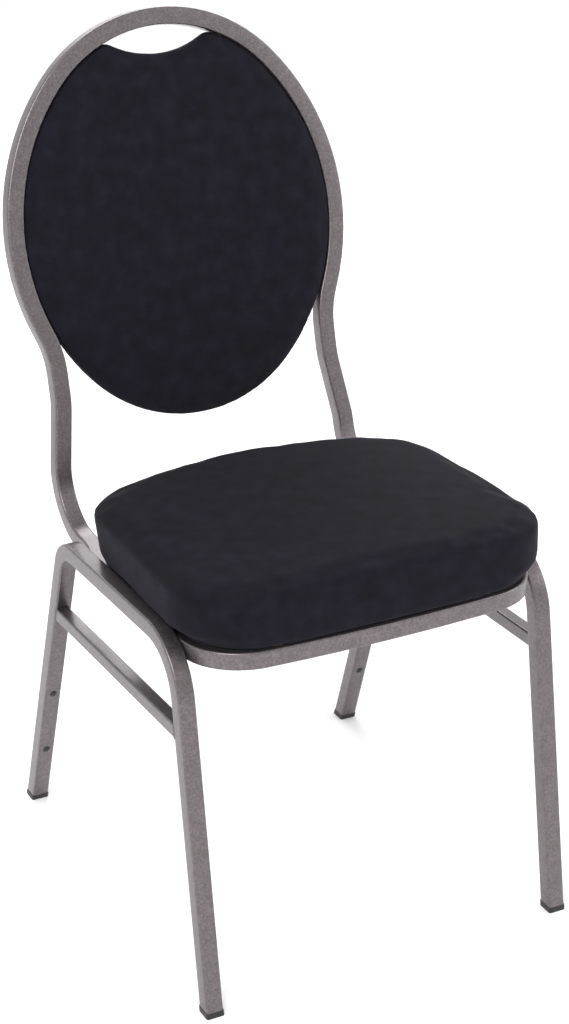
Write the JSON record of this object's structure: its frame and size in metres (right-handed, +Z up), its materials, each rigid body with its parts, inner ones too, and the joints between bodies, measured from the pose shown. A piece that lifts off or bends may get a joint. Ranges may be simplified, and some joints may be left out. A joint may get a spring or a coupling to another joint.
{
  "type": "stacking chair",
  "caption": "Square-tube stacking chair with an oval hoop back, a hand-hold over the back pad and an upholstered seat.",
  "frame": {"origin": "on the floor, at the middle of the chair's outer box", "axes": "+Z up, +Y towards the back of the chair, +X across the chair"},
  "size_m": [0.453, 0.5996, 0.9405],
  "materials": {
    "frame_paint": "silver-grey hammered paint, half gloss",
    "zinc": "zinc plated",
    "glide_plastic": "black moulded nylon",
    "plywood": "raw plywood",
    "foam": "grey polyurethane foam",
    "upholstery": "black woven contract cloth",
    "dust_cloth": "black non-woven cloth"
  },
  "bodies": {
    "root": {"leg_frame_left": "frame_paint", "leg_frame_right": "frame_paint", "side_stretcher_left": "frame_paint", "side_stretcher_right": "frame_paint", "back_tube": "frame_paint", "front_seat_rail": "frame_paint", "joint_sleeves": "zinc", "cross_bar_front": "frame_paint", "cross_bar_rear": "frame_paint", "glide_front_left": "glide_plastic", "glide_front_right": "glide_plastic", "glide_rear_left": "glide_plastic", "glide_rear_right": "glide_plastic", "stacking_buttons": "glide_plastic", "seat_board": "plywood", "seat_foam": "foam", "seat_cover": "upholstery", "seat_dust_cover": "dust_cloth", "seat_bolts": "zinc", "seat_tee_nuts": "zinc", "back_board": "plywood", "back_foam": "foam", "back_wadding": "foam", "back_front_cover": "upholstery", "back_rear_cover": "upholstery", "back_tabs": "frame_paint", "back_screws": "zinc", "back_tee_nuts": "zinc"}
  },
  "joints": []
}
